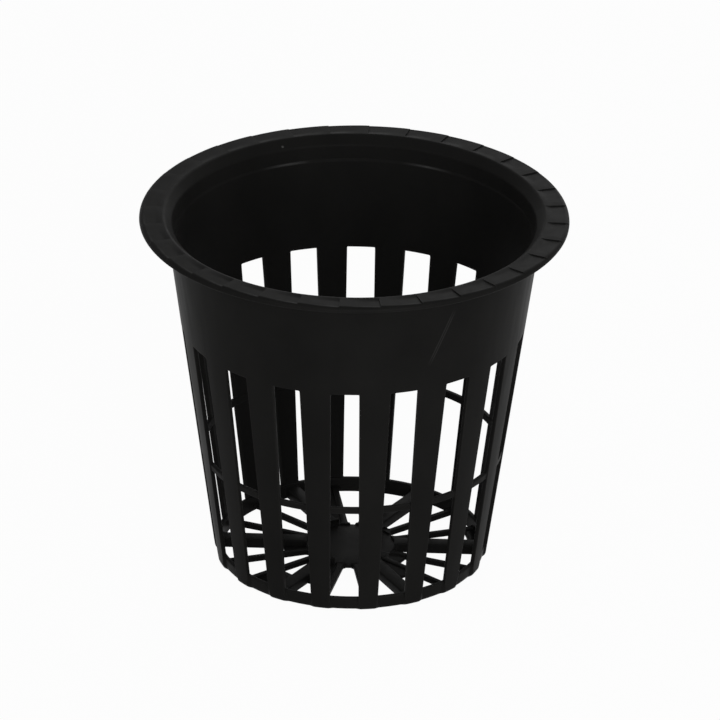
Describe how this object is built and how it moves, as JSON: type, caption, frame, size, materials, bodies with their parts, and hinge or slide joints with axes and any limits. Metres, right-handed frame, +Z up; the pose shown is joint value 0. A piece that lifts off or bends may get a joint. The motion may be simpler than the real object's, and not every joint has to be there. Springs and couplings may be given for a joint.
{
  "type": "net pot",
  "caption": "Round tapered net pot with a slatted wall, open floor grate, plain collar and a wide stepped flange that hangs it in a hole so roots grow through.",
  "frame": {"origin": "centre of the base, on the plane that the base ring stands on", "axes": "+Z up along the pot's axis towards the mouth, +X through the middle of slat_01"},
  "size_m": [0.0902, 0.0902, 0.0787],
  "materials": {
    "black_plastic": "black injection-moulded polypropylene, satin with a soft sheen"
  },
  "bodies": {
    "root": {"rim_lip": "black_plastic", "collar": "black_plastic", "hoop_ring": "black_plastic", "base_ring": "black_plastic", "hub_plate": "black_plastic", "slat_01": "black_plastic", "slat_02": "black_plastic", "slat_03": "black_plastic", "slat_04": "black_plastic", "slat_05": "black_plastic", "slat_06": "black_plastic", "slat_07": "black_plastic", "slat_08": "black_plastic", "slat_09": "black_plastic", "slat_10": "black_plastic", "slat_11": "black_plastic", "slat_12": "black_plastic", "slat_13": "black_plastic", "slat_14": "black_plastic", "slat_15": "black_plastic", "slat_16": "black_plastic", "slat_17": "black_plastic", "slat_18": "black_plastic", "spoke_01": "black_plastic", "spoke_02": "black_plastic", "spoke_03": "black_plastic", "spoke_04": "black_plastic", "spoke_05": "black_plastic", "spoke_06": "black_plastic", "spoke_07": "black_plastic", "spoke_08": "black_plastic", "spoke_09": "black_plastic", "spoke_10": "black_plastic", "spoke_11": "black_plastic", "spoke_12": "black_plastic", "spoke_13": "black_plastic", "spoke_14": "black_plastic", "spoke_15": "black_plastic", "spoke_16": "black_plastic", "spoke_17": "black_plastic", "spoke_18": "black_plastic"}
  },
  "joints": []
}
